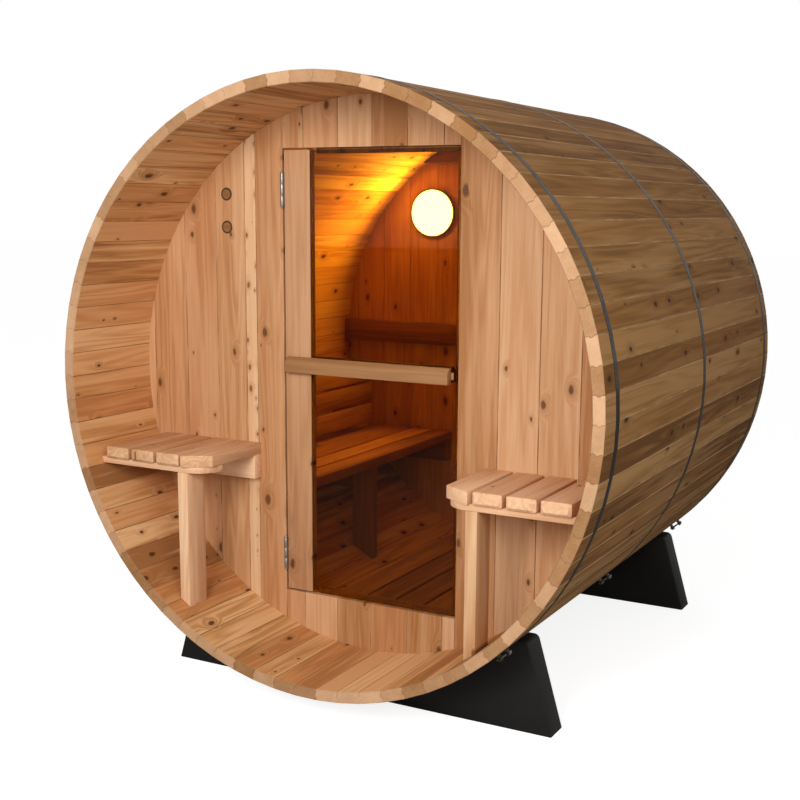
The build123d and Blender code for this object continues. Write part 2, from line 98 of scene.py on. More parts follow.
class StaveSlot(IntEnum):
    """The material slots of a stave."""

    OUTSIDE = 0
    INSIDE = 1
    END = 2
    JOINT = 3
    # EDGE: the staves' eased outer edges, painted pale as a highlight on the bevel.
    EDGE = 4


# ---------------------------------------------------------------- the bench: how pieces are shaped


def choose_only(piece: Optional[Piece]) -> None:
    """Deselect everything, then select one piece, if there is one."""
    bpy.ops.object.select_all(action="DESELECT")
    if piece is not None:
        piece.select_set(True)
        bpy.context.view_layer.objects.active = piece


@contextmanager
def editing(piece: Piece, mode: str = "VERT", everything: bool = False) -> Iterator[None]:
    """Open one piece in edit mode, and close it again.

    Args:
        piece: The piece to edit.
        mode: VERT, EDGE or FACE, the kind of element that is selected.
        everything: Whether the whole mesh is selected first.
    """
    choose_only(piece)
    bpy.context.tool_settings.mesh_select_mode = (mode == "VERT", mode == "EDGE", mode == "FACE")
    bpy.ops.object.mode_set(mode="EDIT")
    if everything:
        bpy.ops.mesh.select_all(action="SELECT")
    yield
    bpy.ops.object.mode_set(mode="OBJECT")


def pick_vertices(piece: Piece, test: Callable[[Vector], bool]) -> None:
    """Select the vertices whose place passes a test, and nothing else."""
    for face in piece.data.polygons:
        face.select = False
    for edge in piece.data.edges:
        edge.select = False
    for vertex in piece.data.vertices:
        vertex.select = test(vertex.co)


def pick_edges(piece: Piece, test: Callable[[Vector, Vector], bool]) -> None:
    """Select the edges whose two ends pass a test, and nothing else."""
    pick_vertices(piece, lambda place: False)
    for edge in piece.data.edges:
        ends = [piece.data.vertices[index] for index in edge.vertices]
        if test(ends[0].co, ends[1].co):
            edge.select = True
            ends[0].select = ends[1].select = True


def pick_faces(piece: Piece, test: Callable[[bpy.types.MeshPolygon], bool]) -> None:
    """Select the faces that pass a test, and nothing else."""
    pick_vertices(piece, lambda place: False)
    for face in piece.data.polygons:
        face.select = test(face)


def start_block(name: str, low: Vector, high: Vector) -> Piece:
    """Add a cube and stretch it between two corners, with its object at the origin.

    Args:
        name: The piece's name.
        low: The lowest corner.
        high: The highest corner.

    Returns:
        The new block.
    """
    choose_only(None)
    bpy.ops.mesh.primitive_cube_add(size=1.0)
    piece = bpy.context.active_object
    piece.name = piece.data.name = name
    with editing(piece, everything=True):
        bpy.ops.transform.resize(value=tuple(high - low), center_override=(0.0, 0.0, 0.0))
        bpy.ops.transform.translate(value=tuple((high + low) / 2))
    return piece


def start_rod(name: str, radius: float, start: Vector, end: Vector, sides: int) -> Piece:
    """Add a cylinder between two points and put its place into its mesh.

    Args:
        name: The piece's name.
        radius: The cylinder's radius.
        start: The middle of its first end.
        end: The middle of its last end.
        sides: The number of its sides.

    Returns:
        The new rod.
    """
    choose_only(None)
    run = end - start
    turn = run.to_track_quat("Z", "Y").to_euler()
    bpy.ops.mesh.primitive_cylinder_add(
        vertices=sides, radius=radius, depth=run.length, location=(start + end) / 2, rotation=turn)
    piece = bpy.context.active_object
    piece.name = piece.data.name = name
    bpy.ops.object.transform_apply(location=True, rotation=True, scale=True)
    return piece


def bevel_picked(piece: Piece, width: float, segments: int, slot: int = -1) -> None:
    """Bevel the edges that are selected.

    Args:
        piece: The piece whose edges are selected.
        width: The bevel's width.
        segments: The number of faces across it.
        slot: The material slot of the new faces, or -1 for their neighbours' slot.
    """
    with editing(piece, "EDGE"):
        bpy.ops.mesh.bevel(offset=width, segments=segments, affect="EDGES", material=slot)


def inset_front(piece: Piece, steps: Iterable[Pair]) -> None:
    """Inset the face that looks to the front, by steps of a thickness and a depth."""
    pick_faces(piece, lambda side: side.normal.y < -FACING)
    with editing(piece, "FACE"):
        for thickness, depth in steps:
            bpy.ops.mesh.inset(thickness=thickness, depth=depth)


def cut_off(piece: Piece, origin: Vector, normal: Vector) -> None:
    """Saw off what lies beyond a plane and close the cut."""
    with editing(piece, "FACE", everything=True):
        bpy.ops.mesh.bisect(plane_co=origin, plane_no=normal, use_fill=True, clear_outer=True)


def fit_to_staves(piece: Piece) -> None:
    """Cut a piece to the flat inner faces of the staves that it meets."""
    for index in range(STAVE_COUNT):
        angle = 2 * math.pi * index / STAVE_COUNT
        normal = Vector((math.sin(angle), 0.0, math.cos(angle)))
        origin = Vector((0.0, 0.0, AXIS_HEIGHT)) + normal * INNER_RADIUS
        if max((vertex.co - origin).dot(normal) for vertex in piece.data.vertices) > 0:
            cut_off(piece, origin, normal)


def ease_arrises(piece: Piece, width: float, segments: int = 2, sharper_than: float = 50.0) -> None:
    """Round off every edge that is sharper than an angle in degrees."""
    bevel = piece.modifiers.new("eased", "BEVEL")
    bevel.width = width
    bevel.segments = segments
    bevel.limit_method = "ANGLE"
    bevel.angle_limit = math.radians(sharper_than)
    choose_only(piece)
    bpy.ops.object.modifier_apply(modifier=bevel.name)
    with editing(piece, everything=True):
        bpy.ops.mesh.remove_doubles(threshold=MERGE)
        bpy.ops.mesh.dissolve_degenerate(threshold=MERGE)


def shade_smooth(piece: Piece, degrees: float = 35.0) -> None:
    """Shade faces that meet under an angle as one smooth surface."""
    choose_only(piece)
    bpy.ops.object.shade_smooth_by_angle(angle=math.radians(degrees))


def own_copy(piece: Piece, turn: Matrix) -> Piece:
    """Copy a piece with a mesh of its own, moved within that mesh."""
    copy = bpy.data.objects.new(piece.name, piece.data.copy())
    bpy.context.scene.collection.objects.link(copy)
    copy.data.transform(turn)
    return copy


def about_barrel(angle: float) -> Matrix:
    """A turn about the barrel's axis, clockwise seen from the front."""
    centre = Matrix.Translation((0.0, 0.0, AXIS_HEIGHT))
    return centre @ Matrix.Rotation(angle, 4, "Y") @ centre.inverted()


def give_tone(piece: Piece, dice: random.Random) -> None:
    """Give one board its own tone, hue and place in the tree."""
    layer = piece.data.color_attributes.new(name="board", type="FLOAT_COLOR", domain="POINT")
    value = (dice.random(), dice.random(), dice.random(), 1.0)
    layer.data.foreach_set("color", value * len(piece.data.vertices))


def dress(piece: Piece, *finishes: Finish) -> None:
    """Give a piece its material slots."""
    piece.data.materials.clear()
    for finish in finishes:
        piece.data.materials.append(finish)


def hand_over(parts: Sequence[Piece], name: str, body: str, slot: str, *nodes: str) -> None:
    """Join parts into one piece that rides on its body and stands for its CAD nodes.

    Args:
        parts: The parts to join.
        name: The piece's name.
        body: The body that it rides on.
        slot: Not used.
        nodes: The CAD nodes that it replaces.
    """
    choose_only(parts[0])
    for part in parts:
        part.select_set(True)
    if len(parts) > 1:
        bpy.ops.object.join()
    piece = parts[0]
    piece.name = piece.data.name = name
    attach(piece, body)
    if nodes:
        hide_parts(*nodes)
    log.info("%s: %d faces on %s", name, len(piece.data.polygons), body)


# ---------------------------------------------------------------- finishes


def paint(text: str) -> Colour:
    """Turn a colour written as for a screen into the linear one that shaders take."""
    parts = [int(text[index:index + 2], 16) / 255 for index in (1, 3, 5)]
    red, green, blue = (
        part / SRGB_SLOPE if part <= SRGB_KNEE
        else ((part + SRGB_OFFSET) / (1 + SRGB_OFFSET)) ** SRGB_GAMMA for part in parts)
    return (red, green, blue, 1.0)


class Nodes:
    """A shader tree under construction: adds nodes and links them."""

    def __init__(self, tree: bpy.types.NodeTree) -> None:
        """Take up a tree."""
        self.tree = tree

    def add(self, kind: str, **settings: object) -> bpy.types.Node:
        """Add a node and set its properties."""
        node = self.tree.nodes.new(kind)
        for key, value in settings.items():
            setattr(node, key, value)
        return node

    def feed(self, socket: Socket, value: Value) -> None:
        """Link a socket to another one, or set its own value."""
        if isinstance(value, Socket):
            self.tree.links.new(value, socket)
        else:
            socket.default_value = value

    def calc(self, operation: str, *values: Value) -> Socket:
        """Work out one Math operation over sockets and numbers."""
        node = self.add("ShaderNodeMath", operation=operation)
        for socket, value in zip(node.inputs, values):
            self.feed(socket, value)
        return node.outputs[0]

    def swing(self, value: Value, middle: float, weight: float, base: Value) -> Socket:
        """Add what a value departs from its middle, weighted, to a base."""
        return self.calc("MULTIPLY_ADD", self.calc("SUBTRACT", value, middle), weight, base)

    def remap(self, value: Value, start: float, end: float, low: float, high: float) -> Socket:
        """Map a value's range onto another range, clamped."""
        node = self.add("ShaderNodeMapRange")
        for key, number in (
                ("Value", value), ("From Min", start), ("From Max", end), ("To Min", low),
                ("To Max", high)):
            self.feed(node.inputs[key], number)
        return node.outputs["Result"]

    def blend(self, share: Value, first: object, second: object) -> Socket:
        """Mix two colours by a share from 0 to 1."""
        node = self.add("ShaderNodeMix", data_type="RGBA")
        for index, value in ((0, share), (6, first), (7, second)):
            self.feed(node.inputs[index], value)
        return node.outputs[2]

    def steps(self, value: Value, *stops: tuple[float, Colour]) -> Socket:
        """Lay a colour ramp over a value."""
        node = self.add("ShaderNodeValToRGB")
        ramp = node.color_ramp
        ramp.elements[0].position, ramp.elements[0].color = stops[0]
        ramp.elements[1].position, ramp.elements[1].color = stops[-1]
        for place, colour in stops[1:-1]:
            ramp.elements.new(place).color = colour
        self.feed(node.inputs["Fac"], value)
        return node.outputs["Color"]

    def noise(self, place: Value, scale: float = 1.0, detail: float = 2.0) -> Socket:
        """Add a noise pattern and give its value."""
        node = self.add("ShaderNodeTexNoise")
        self.feed(node.inputs["Vector"], place)
        node.inputs["Scale"].default_value = scale
        node.inputs["Detail"].default_value = detail
        return node.outputs["Fac"]


class Recipe(Nodes):
    """A material under construction."""

    def __init__(self, name: str) -> None:
        """Start a material with its shader and output."""
        self.finish = bpy.data.materials.new(name)
        self.finish.use_nodes = True
        super().__init__(self.finish.node_tree)
        self.shader = self.tree.nodes["Principled BSDF"]

    def show(self, **inputs: object) -> None:
        """Feed inputs of the shader; an underscore stands for the space in an input's name."""
        for key, value in inputs.items():
            self.feed(self.shader.inputs[key.replace("_", " ")], value)

    def place(self) -> Socket:
        """The place on the object."""
        return self.add("ShaderNodeTexCoord").outputs["Object"]

    def board(self) -> Sequence[Socket]:
        """The board's own tone, hue and seed."""
        split = self.add("ShaderNodeSeparateColor")
        self.feed(
            split.inputs[0],
            self.add("ShaderNodeAttribute", attribute_name="board").outputs["Color"])
        return split.outputs

    def bump(self, height: Value, strength: float, distance: float) -> None:
        """Give the surface a relief."""
        node = self.add("ShaderNodeBump")
        for key, value in (("Strength", strength), ("Distance", distance), ("Height", height)):
            self.feed(node.inputs[key], value)
        self.show(Normal=node.outputs[0])


@dataclass(frozen=True)
class CedarFinish:
    """Planed cedar: growth rings, sapwood streaks, knots that go through, and boards that differ.

    Scales count a pattern's waves across the board, along its grain and through it.
    """

    name: str
    grain: Grain = Grain.ALONG_Y
    face: Grain = Grain.ALONG_Z
    on_barrel: bool = False
    pale: str = "#d9ab82"
    middle: str = "#c28a5e"
    deep: str = "#9b6238"
    warm: str = "#c98257"
    knot: str = "#5b331b"
    knot_share: float = 0.5
    knot_radius: float = 0.011
    knot_spacing: float = 0.085
    knot_stretch: float = 0.55
    knot_least: float = 0.002
    knot_core: Pair = (0.62, 1.1)
    knot_halo: Pair = (0.9, 4.0)
    halo_fall: float = 2.0
    ragged_scales: Triple = (60.0, 35.0, 0.0)
    ragged_reach: float = 0.12
    growth_scales: Triple = (15.0, 0.7, 15.0)
    growth_bend: float = 1.1
    ring_count: float = 8.0
    fibre_scales: Triple = (330.0, 8.0, 330.0)
    broad_scales: Triple = (8.0, 0.55, 8.0)
    sap_scales: Triple = (17.0, 1.1, 10.0)
    sap_span: Pair = (0.52, 0.64)
    seed_steps: Pair = (37.0, 91.0)
    broad_weight: float = 1.2
    ring_weight: float = 0.7
    fibre_weight: float = 0.5
    tone_weight: float = 0.8
    sap_share: float = 0.4
    hue_share: float = 0.4
    halo_share: float = 0.5
    core_share: float = 0.9
    mean_tone: float = 0.42
    middle_stop: float = 0.45
    streaks: float = 1.0
    spread: float = 1.0
    roughness: float = 0.6
    shine: float = 0.25

    def board_place(self, wood: Recipe) -> Sequence[Value]:
        """Find the place on the board: across it, along its grain and through it."""
        split = wood.add("ShaderNodeSeparateXYZ")
        wood.feed(split.inputs[0], wood.place())
        axes = split.outputs
        if self.on_barrel:
            height = wood.calc("SUBTRACT", axes[2], AXIS_HEIGHT)
            angle = wood.calc("ARCTAN2", axes[0], height)
            across = wood.calc("MULTIPLY", angle, BARREL_RADIUS)
            squares = [wood.calc("POWER", side, 2.0) for side in (axes[0], height)]
            return across, axes[1], wood.calc("SQRT", wood.calc("ADD", *squares))
        across = 3 - self.grain.value - self.face.value
        return axes[across], axes[self.grain.value], axes[self.face.value]

    def build(self) -> Finish:
        """Build the material.

        Returns:
            The finished wood.
        """
        wood = Recipe(self.name)
        across, along, through = self.board_place(wood)
        tone, hue, seed = wood.board()[:3]

        def scaled(scales: Triple, shift: Optional[Value] = None) -> Socket:
            """The place on the board, scaled along its three directions and moved by its seed."""
            wide, long, deep = scales
            node = wood.add("ShaderNodeCombineXYZ")
            steps = [wood.calc("MULTIPLY", seed, step) for step in self.seed_steps]
            first = wood.calc("MULTIPLY_ADD", across, wide, steps[0])
            wood.feed(node.inputs[0], first if shift is None else wood.calc("ADD", first, shift))
            wood.feed(node.inputs[1], wood.calc("MULTIPLY_ADD", along, long, steps[1]))
            wood.feed(node.inputs[2], wood.calc("MULTIPLY", through, deep))
            return node.outputs[0]

        cell = 1 / self.knot_spacing
        ragged = wood.calc("SUBTRACT", wood.noise(scaled(self.ragged_scales)), 0.5)
        ragged = wood.calc("MULTIPLY", ragged, self.ragged_reach)
        knots = wood.add("ShaderNodeTexVoronoi", voronoi_dimensions="2D", feature="F1")
        wood.feed(knots.inputs["Vector"], scaled((cell, cell * self.knot_stretch, 0.0), ragged))
        knots.inputs["Scale"].default_value = 1.0
        chance = wood.add("ShaderNodeSeparateColor")
        wood.feed(chance.inputs[0], knots.outputs["Color"])
        size = wood.remap(chance.outputs[0], 1 - self.knot_share, 1.0, 0.0, self.knot_radius * cell)
        reach = wood.calc(
            "DIVIDE", knots.outputs["Distance"], wood.calc("MAXIMUM", size, self.knot_least))
        core = wood.remap(reach, *self.knot_core, 1.0, 0.0)
        halo = wood.calc("POWER", wood.remap(reach, *self.knot_halo, 1.0, 0.0), self.halo_fall)

        bend = wood.calc("MULTIPLY", halo, self.growth_bend)
        growth = wood.noise(scaled(self.growth_scales, bend), detail=2.5)
        rings = wood.calc("PINGPONG", wood.calc("MULTIPLY", growth, self.ring_count), 0.5)
        fibre = wood.noise(scaled(self.fibre_scales))
        broad = wood.noise(scaled(self.broad_scales))
        sap = wood.remap(wood.noise(scaled(self.sap_scales), detail=3.0), *self.sap_span, 0.0, 1.0)

        body: Value = self.mean_tone
        for value, middle, weight in (
                (broad, 0.5, self.broad_weight * self.streaks),
                (rings, 0.25, self.ring_weight * self.streaks), (fibre, 0.5, self.fibre_weight),
                (tone, 0.5, self.tone_weight * self.spread)):
            body = wood.swing(value, middle, weight, body)
        pale, deep = paint(self.pale), paint(self.deep)
        colour = wood.steps(body, (0.0, deep), (self.middle_stop, paint(self.middle)), (1.0, pale))
        for mask, share, other in (
                (sap, self.sap_share * self.streaks, pale),
                (hue, self.hue_share * self.spread, paint(self.warm)),
                (halo, self.halo_share, deep), (core, self.core_share, paint(self.knot))):
            colour = wood.blend(wood.calc("MULTIPLY", mask, share), colour, other)
        dullness = wood.remap(fibre, *NOISE_SPAN, self.roughness - 0.07, self.roughness + 0.08)
        wood.show(Base_Color=colour, Roughness=dullness, Specular_IOR_Level=self.shine)
        relief = wood.calc("SUBTRACT", wood.calc("MULTIPLY_ADD", rings, 0.6, fibre), core)
        wood.bump(relief, strength=0.35, distance=0.0007)
        return wood.finish


@dataclass(frozen=True)
class EndGrainFinish:
    """The sawn ends of the staves, speckled with pores."""

    name: str = "cedar_end_grain"
    pale: str = "#cda27c"
    deep: str = "#94683f"
    share: float = 0.45
    spread: float = 0.9

    def build(self) -> Finish:
        """Build the material."""
        wood = Recipe(self.name)
        place = wood.place()
        speck = wood.noise(place, scale=240.0, detail=3.0)
        cloud = wood.noise(place, scale=26.0)
        parts = [wood.calc("MULTIPLY", part, self.share) for part in (speck, cloud)]
        body = wood.swing(wood.board()[0], 0.5, self.spread, wood.calc("ADD", *parts))
        wood.show(
            Base_Color=wood.steps(body, (0.0, paint(self.deep)), (1.0, paint(self.pale))),
            Roughness=0.78, Specular_IOR_Level=0.25)
        wood.bump(speck, strength=0.4, distance=0.0006)
        return wood.finish


@dataclass(frozen=True)
class GrooveFinish:
    """The shaded wood in the groove between two boards, or the painted highlight on the staves'
    eased outer edges.
    """

    name: str
    dark: str
    pale: str
    dark_stop: float = 0.38
    pale_stop: float = 0.66

    def build(self) -> Finish:
        """Build the material."""
        wood = Recipe(self.name)
        dust = wood.noise(wood.place(), scale=9.0, detail=3.0)
        stops = (self.dark_stop, paint(self.dark)), (self.pale_stop, paint(self.pale))
        wood.show(Base_Color=wood.steps(dust, *stops), Roughness=0.85)
        return wood.finish


@dataclass(frozen=True)
class SteelFinish:
    """Steel with fine scratches and duller patches."""

    name: str
    bright: str
    dull: str
    roughness: float
    dull_stop: float = 0.35
    bright_stop: float = 0.65

    def build(self) -> Finish:
        """Build the material."""
        steel = Recipe(self.name)
        place = steel.place()
        scratch = steel.noise(place, scale=160.0, detail=4.0)
        patch = steel.noise(place, scale=6.0)
        stops = (self.dull_stop, paint(self.dull)), (self.bright_stop, paint(self.bright))
        steel.show(
            Base_Color=steel.steps(patch, *stops), Metallic=1.0,
            Roughness=steel.remap(
                scratch, *NOISE_SPAN, self.roughness - 0.08, self.roughness + 0.1))
        steel.bump(scratch, strength=0.15, distance=0.0003)
        return steel.finish


@dataclass(frozen=True)
class MattBlackFinish:
    """Matt black with a slightly pebbled skin and scuffed patches."""

    name: str = "matt_black"
    dark: str = "#0e0b09"
    worn: str = "#15110e"
    dark_stop: float = 0.4
    worn_stop: float = 0.7
    dullness: Pair = (0.52, 0.7)

    def build(self) -> Finish:
        """Build the material."""
        skin = Recipe(self.name)
        place = skin.place()
        pebble = skin.noise(place, scale=320.0)
        scuff = skin.noise(place, scale=5.0, detail=4.0)
        stops = (self.dark_stop, paint(self.dark)), (self.worn_stop, paint(self.worn))
        skin.show(
            Base_Color=skin.steps(scuff, *stops), Specular_IOR_Level=0.28,
            Roughness=skin.remap(pebble, *NOISE_SPAN, *self.dullness))
        skin.bump(pebble, strength=0.25, distance=0.0005)
        return skin.finish


@dataclass(frozen=True)
class BronzeGlassFinish:
    """Bronze tinted safety glass."""

    name: str = "bronze_glass"
    tint: Colour = (0.60, 0.39, 0.05, 1.0)

    def build(self) -> Finish:
        """Build the material."""
        glass = Recipe(self.name)
        glass.show(Base_Color=self.tint, Roughness=0.01, IOR=1.2, Transmission_Weight=1.0)
        return glass.finish


@dataclass(frozen=True)
class OpalGlowFinish:
    """Opal glass, lit from within."""

    name: str = "opal_glow"
    glow: Colour = (1.0, 0.76, 0.5, 1.0)
    base: Colour = (0.9, 0.86, 0.78, 1.0)
    strength: float = 52.0

    def build(self) -> Finish:
        """Build the material."""
        opal = Recipe(self.name)
        opal.show(
            Base_Color=self.base, Roughness=0.3, Emission_Color=self.glow,
            Emission_Strength=self.strength)
        return opal.finish


def tones(colours: str) -> dict[str, str]:
    """Name a wood's colours, which are written in the order pale, middle, deep, warm and knot."""
    return dict(zip(("pale", "middle", "deep", "warm", "knot"), colours.split()))


class Finishes:
    """Every finish of the sauna, built once."""

    def __init__(self) -> None:
        """Build the finishes."""
        x, y, z = Grain.ALONG_X, Grain.ALONG_Y, Grain.ALONG_Z
        self.outside = CedarFinish(
            "cedar_outside", on_barrel=True, knot_share=0.35, streaks=1.15, shine=0.08,
            roughness=0.75, **tones("#bf9260 #966a3b #6c4827 #996534 #402712")).build()
        self.inner = CedarFinish(
            "cedar_stave_inner", on_barrel=True, spread=1.5, streaks=1.8, shine=0.15,
            **tones("#e6b884 #c6925c #96643a #c6834e #4f2d14")).build()
        self.end = EndGrainFinish().build()
        self.joint = GrooveFinish("stave_joint", "#80552f", "#ad7e50").build()
        # Pale finish for the staves' eased outer edges: a painted highlight on the bevel.
        self.edge = GrooveFinish("stave_edge_painted_highlight", "#a9804f", "#cda473").build()
        self.wall = CedarFinish(
            "cedar_wall", z, y, knot_share=0.3, knot_radius=0.012, streaks=0.8, spread=0.9,
            **tones("#d8b088 #be8c60 #9a6638 #c08258 #5c371d")).build()
        self.pin_knots = CedarFinish(
            "cedar_pin_knots", z, y, knot_share=0.7, knot_radius=0.007, knot_spacing=0.036,
            streaks=0.8, spread=0.3, **tones("#ddb78f #cc9c71 #a5703f #cc9468 #7d5030")).build()
        self.groove = GrooveFinish("wall_groove", "#946640", "#c0906a").build()
        seat = dict(tones("#f0cda6 #ddb088 #b58457 #dca57f #6b4226"), streaks=0.8)
        self.slat = CedarFinish("cedar_slat", y, z, knot_share=0.35, **seat).build()
        self.bearer = CedarFinish("cedar_bearer", x, z, knot_share=0.2, **seat).build()
        self.ledger = CedarFinish("cedar_ledger", x, y, knot_share=0.2, **seat).build()
        self.post = CedarFinish("cedar_post", z, y, knot_share=0.3, **seat).build()
        self.stile = CedarFinish(
            "cedar_stile", z, y, knot_share=0.1, streaks=0.9,
            **tones("#cb9f7b #b4855c #8f6240 #b88560")).build()
        self.bar = CedarFinish(
            "cedar_handle", x, y, knot_share=0.05, streaks=0.8,
            **tones("#a87b50 #875c36 #633e21 #8c5e3a")).build()
        cabin = tones("#dcaa70 #bd8650 #8d5a2e #b87a45")
        self.bench = CedarFinish("cedar_bench", y, z, **cabin).build()
        self.floor = CedarFinish(
            "cedar_floor", y, z, **tones("#b98a58 #97693c #6b4424 #94653a")).build()
        # Rail finish: a darker copy of the cabin cedar, painted shade for the rails and bearers.
        self.rail_painted_shade = CedarFinish(
            "cedar_rail_painted_shade", x, y, **tones("#9c6b40 #7b5030 #58371d #7c4d2b")).build()
        self.shaded = CedarFinish(
            "cedar_shaded", z, y, **tones("#966539 #764b29 #56361b #764b2a")).build()
        self.backrest = CedarFinish("cedar_backrest", y, x, **cabin).build()
        self.upright = CedarFinish("cedar_upright", z, x, **cabin).build()
        self.hoop = SteelFinish("hoop_steel", "#47403a", "#322d29", 0.5).build()
        self.bright = SteelFinish("bolt_steel", "#a3a19c", "#7f7d79", 0.45).build()
        self.black = MattBlackFinish().build()
        self.rim = MattBlackFinish("lamp_rim_dark", "#3a2718", "#4a3320").build()
        self.glass = BronzeGlassFinish().build()
        self.opal = OpalGlowFinish().build()


# ---------------------------------------------------------------- sub-assemblies


@dataclass
class Barrel:
    """The coopered shell: staves with a bead and a cove, eased along their long edges."""

    finishes: Finishes
    thickness: float = 0.035
    joint_gap: float = 0.0003
    bead_height: float = 0.016
    bead_crest: float = 0.007
    bead_depth: float = 0.004
    outer_ease: float = 0.0022
    inner_ease: float = 0.0010
    end_ease: float = 0.0016
    groups: tuple[str, ...] = (
        "top", "upper_right", "lower_right", "bottom", "lower_left", "upper_left")

    def stave(self) -> Piece:
        """Model the stave at the very top of the barrel.

        Returns:
            One stave with its bead, cove and eased edges.
        """
        low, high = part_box("staves_top")
        half = math.pi / STAVE_COUNT
        outer = BARREL_RADIUS * math.cos(half)
        inner = outer - self.thickness
        wide = outer * math.tan(half) - self.joint_gap / 2
        narrow = inner * math.tan(half) - self.joint_gap / 2
        middle = AXIS_HEIGHT + (outer + inner) / 2
        base, top = AXIS_HEIGHT + inner, AXIS_HEIGHT + outer
        piece = start_block("stave", Vector((-wide, low.y, base)), Vector((wide, high.y, top)))
        pick_vertices(piece, lambda place: place.z < base + TOUCH)
        with editing(piece):
            bpy.ops.transform.resize(
                value=(narrow / wide, 1.0, 1.0), center_override=(0.0, 0.0, base))
        foot, crest = self.bead_height / 2, self.bead_crest / 2
        for level in (foot, crest, -crest, -foot):
            with editing(piece, "FACE", everything=True):
                bpy.ops.mesh.bisect(plane_co=(0.0, 0.0, middle + level), plane_no=(0.0, 0.0, 1.0))
        pick_vertices(piece, lambda place: abs(place.z - middle) < crest + TOUCH)
        with editing(piece):
            bpy.ops.transform.translate(value=(self.bead_depth, 0.0, 0.0))
        dress(
            piece, self.finishes.outside, self.finishes.inner, self.finishes.end,
            self.finishes.joint, self.finishes.edge)
        for face in piece.data.polygons:
            facing = (face.normal.z > FACING, face.normal.z < -FACING, abs(face.normal.y) > FACING)
            face.material_index = facing.index(True) if any(facing) else StaveSlot.JOINT
        # The outer eases get the pale painted highlight, the inner eases the shaded joint wood.
        for level, ease, slot in (
                (top, self.outer_ease, StaveSlot.EDGE), (base, self.inner_ease, StaveSlot.JOINT)):
            pick_edges(
                piece,
                lambda a, b: (
                    abs(a.z - level) < TOUCH and abs(b.z - level) < TOUCH
                    and abs(a.y - b.y) > high.y))
            bevel_picked(piece, ease, 2, slot)
        pick_edges(piece, lambda a, b: abs(a.y - b.y) < TOUCH and abs(abs(a.y) - high.y) < TOUCH)
        bevel_picked(piece, self.end_ease, 1, StaveSlot.END)
        return piece

    def build(self) -> None:
        """Copy the stave round the barrel, in the CAD model's six groups."""
        dice = random.Random(11)
        pattern = self.stave()
        sets: dict[str, list[Piece]] = {name: [] for name in self.groups}
        for index in range(STAVE_COUNT):
            turn = index / STAVE_COUNT
            copy = own_copy(pattern, about_barrel(2 * math.pi * turn))
            give_tone(copy, dice)
            sets[self.groups[round(turn * len(self.groups)) % len(self.groups)]].append(copy)
        bpy.data.objects.remove(pattern)
        for name, staves in sets.items():
            hand_over(staves, f"stave_boards_{name}", "cabin", "cedar_staves", f"staves_{name}")


@dataclass
class EndWalls:
    """The upright boards of both end walls, grooved at their joints and cut to the barrel."""

    finishes: Finishes
    groove: float = 0.0017
    side_joints: tuple[float, ...] = (
        -0.848, -0.709, -0.580, -0.464, -0.420, 0.448, 0.580, 0.709, 0.845)
    head_joints: tuple[float, ...] = (-0.236, -0.110, 0.013, 0.136, 0.259)
    sill_joints: tuple[float, ...] = (-0.241, -0.115, 0.010, 0.143, 0.270)
    pin_knot_board: float = -0.464
    half_gap: float = 0.0002
    least_width: float = 0.02
    rear_pitch: float = 0.1275
    plug_radius: float = 0.021
    plug_depth: float = 0.005
    plug_proud: float = 0.0008
    plug_sides: int = 40
    plug_insets: tuple[Pair, ...] = ((0.0045, -0.0007), (0.001, 0.0007))
    ring_area: float = 0.0004
    plugs: tuple[Pair, ...] = ((-0.5345, 1.578), (-0.5345, 1.472))

    def board(
            self, left: float, right: float, low: Vector, high: Vector,
            dice: random.Random) -> Piece:
        """Model one upright board.

        Args:
            left: The board's left edge.
            right: The board's right edge.
            low: The lowest corner of the wall.
            high: The highest corner of the wall.
            dice: Where the board's tone comes from.

        Returns:
            The board, grooved and cut to the barrel.
        """
        piece = start_block(
            "wall_board", Vector((left + self.half_gap, low.y, low.z)),
            Vector((right - self.half_gap, high.y, high.z)))
        knotty = abs(left - self.pin_knot_board) < TOUCH
        dress(
            piece, self.finishes.pin_knots if knotty else self.finishes.wall, self.finishes.groove)
        pick_edges(piece, lambda a, b: abs(a.z - b.z) > UPRIGHT)
        bevel_picked(piece, self.groove, 2, 1)
        fit_to_staves(piece)
        give_tone(piece, dice)
        return piece

    def wall(self, node: str, name: str, joints: Iterable[float], dice: random.Random) -> None:
        """Board up one piece of wall."""
        low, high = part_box(node)
        least, most = low.x + self.least_width, high.x - self.least_width
        stops = [low.x, *(joint for joint in joints if least < joint < most), high.x]
        boards = [
            self.board(left, right, low, high, dice) for left, right in zip(stops[:-1], stops[1:])]
        hand_over(boards, name, "cabin", "cedar_walls", node)

    def plug(self, x: float, z: float) -> Piece:
        """Model one round wooden plug with a dark ring."""
        face = Vector((x, PORCH_WALL_Y - self.plug_proud, z))
        back = face + Vector((0.0, self.plug_depth, 0.0))
        piece = start_rod("plug", self.plug_radius, back, face, self.plug_sides)
        dress(piece, self.finishes.rim, self.finishes.bar)
        inset_front(piece, self.plug_insets)
        for side in piece.data.polygons:
            side.material_index = int(side.normal.y < -FACING and side.area > self.ring_area)
        return piece

    def build(self) -> None:
        """Build the four pieces of the front wall, its plugs, and the rear wall."""
        dice = random.Random(29)
        for part, joints in (
                ("left", self.side_joints), ("right", self.side_joints),
                ("header", self.head_joints), ("sill", self.sill_joints)):
            self.wall(f"front_wall_{part}", f"front_boards_{part}", joints, dice)
        rear = [self.rear_pitch * (index + 0.5) for index in range(-7, 7)]
        self.wall("rear_wall", "rear_boards", rear, dice)
        plugs = [self.plug(x, z) for x, z in self.plugs]
        for plug in plugs:
            give_tone(plug, dice)
        hand_over(plugs, "wall_plugs", "cabin", "cedar_walls")


def about(middle: float, width: float) -> Pair:
    """A span of a width about its middle."""
    return middle - width / 2, middle + width / 2


def along_cabin(gap: float) -> Pair:
    """The cabin's length, less a gap at each end."""
    return CABIN_FRONT_Y + gap, CABIN_BACK_Y - gap


